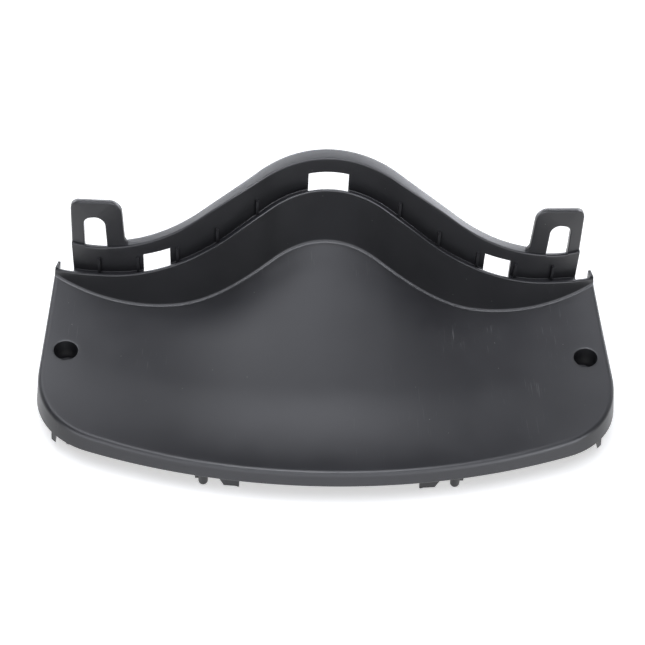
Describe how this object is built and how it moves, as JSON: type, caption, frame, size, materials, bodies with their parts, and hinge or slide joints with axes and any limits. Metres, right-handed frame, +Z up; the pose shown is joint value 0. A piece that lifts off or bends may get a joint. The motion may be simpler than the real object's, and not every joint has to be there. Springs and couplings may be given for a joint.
{
  "type": "scooter leg shield",
  "caption": "Black moulded leg shield panel with a rounded front rim, a humped face, a stepped bell-shaped rear wall with snap windows and slotted tabs, and sunk screw seats.",
  "frame": {"origin": "bottom centre of the bounding box, as the part rests on its front pegs and the rear feet of its side skirts", "axes": "+X across the part, +Y from the rounded front rim to the slotted tabs, +Z up"},
  "size_m": [0.3246, 0.1794, 0.1043],
  "materials": {
    "plastic": "satin black, finely grained, as moulded"
  },
  "bodies": {
    "root": {"leg_shield": "plastic"}
  },
  "joints": []
}
